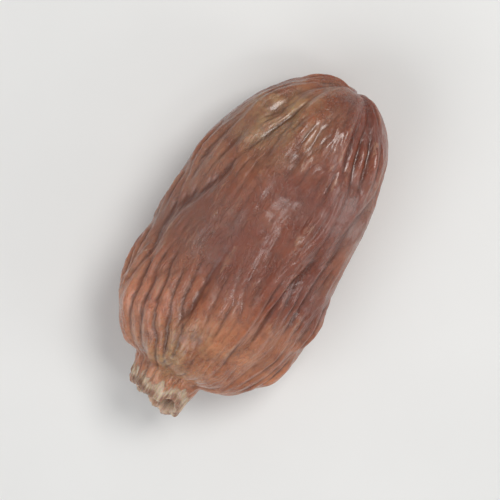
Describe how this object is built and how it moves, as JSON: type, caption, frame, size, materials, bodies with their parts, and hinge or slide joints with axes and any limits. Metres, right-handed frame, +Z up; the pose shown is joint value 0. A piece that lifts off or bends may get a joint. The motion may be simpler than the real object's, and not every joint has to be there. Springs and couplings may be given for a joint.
{
  "type": "pitted date",
  "caption": "Dried pitted date: a plump, lengthwise wrinkled oval fruit with a tapered apex and an open pit hole in a torn pale collar at the stem end.",
  "frame": {"origin": "on the ground, under the middle of the date's box, as it lies on its flattened underside", "axes": "+X along the date, from the open stem end towards the apex; +Z up through its flatter, thinner side; +Y across it"},
  "size_m": [0.0382, 0.0204, 0.0148],
  "materials": {
    "skin": "amber to red-brown date skin, half gloss, lengthwise wrinkled"
  },
  "bodies": {
    "root": {"date": "skin"}
  },
  "joints": []
}
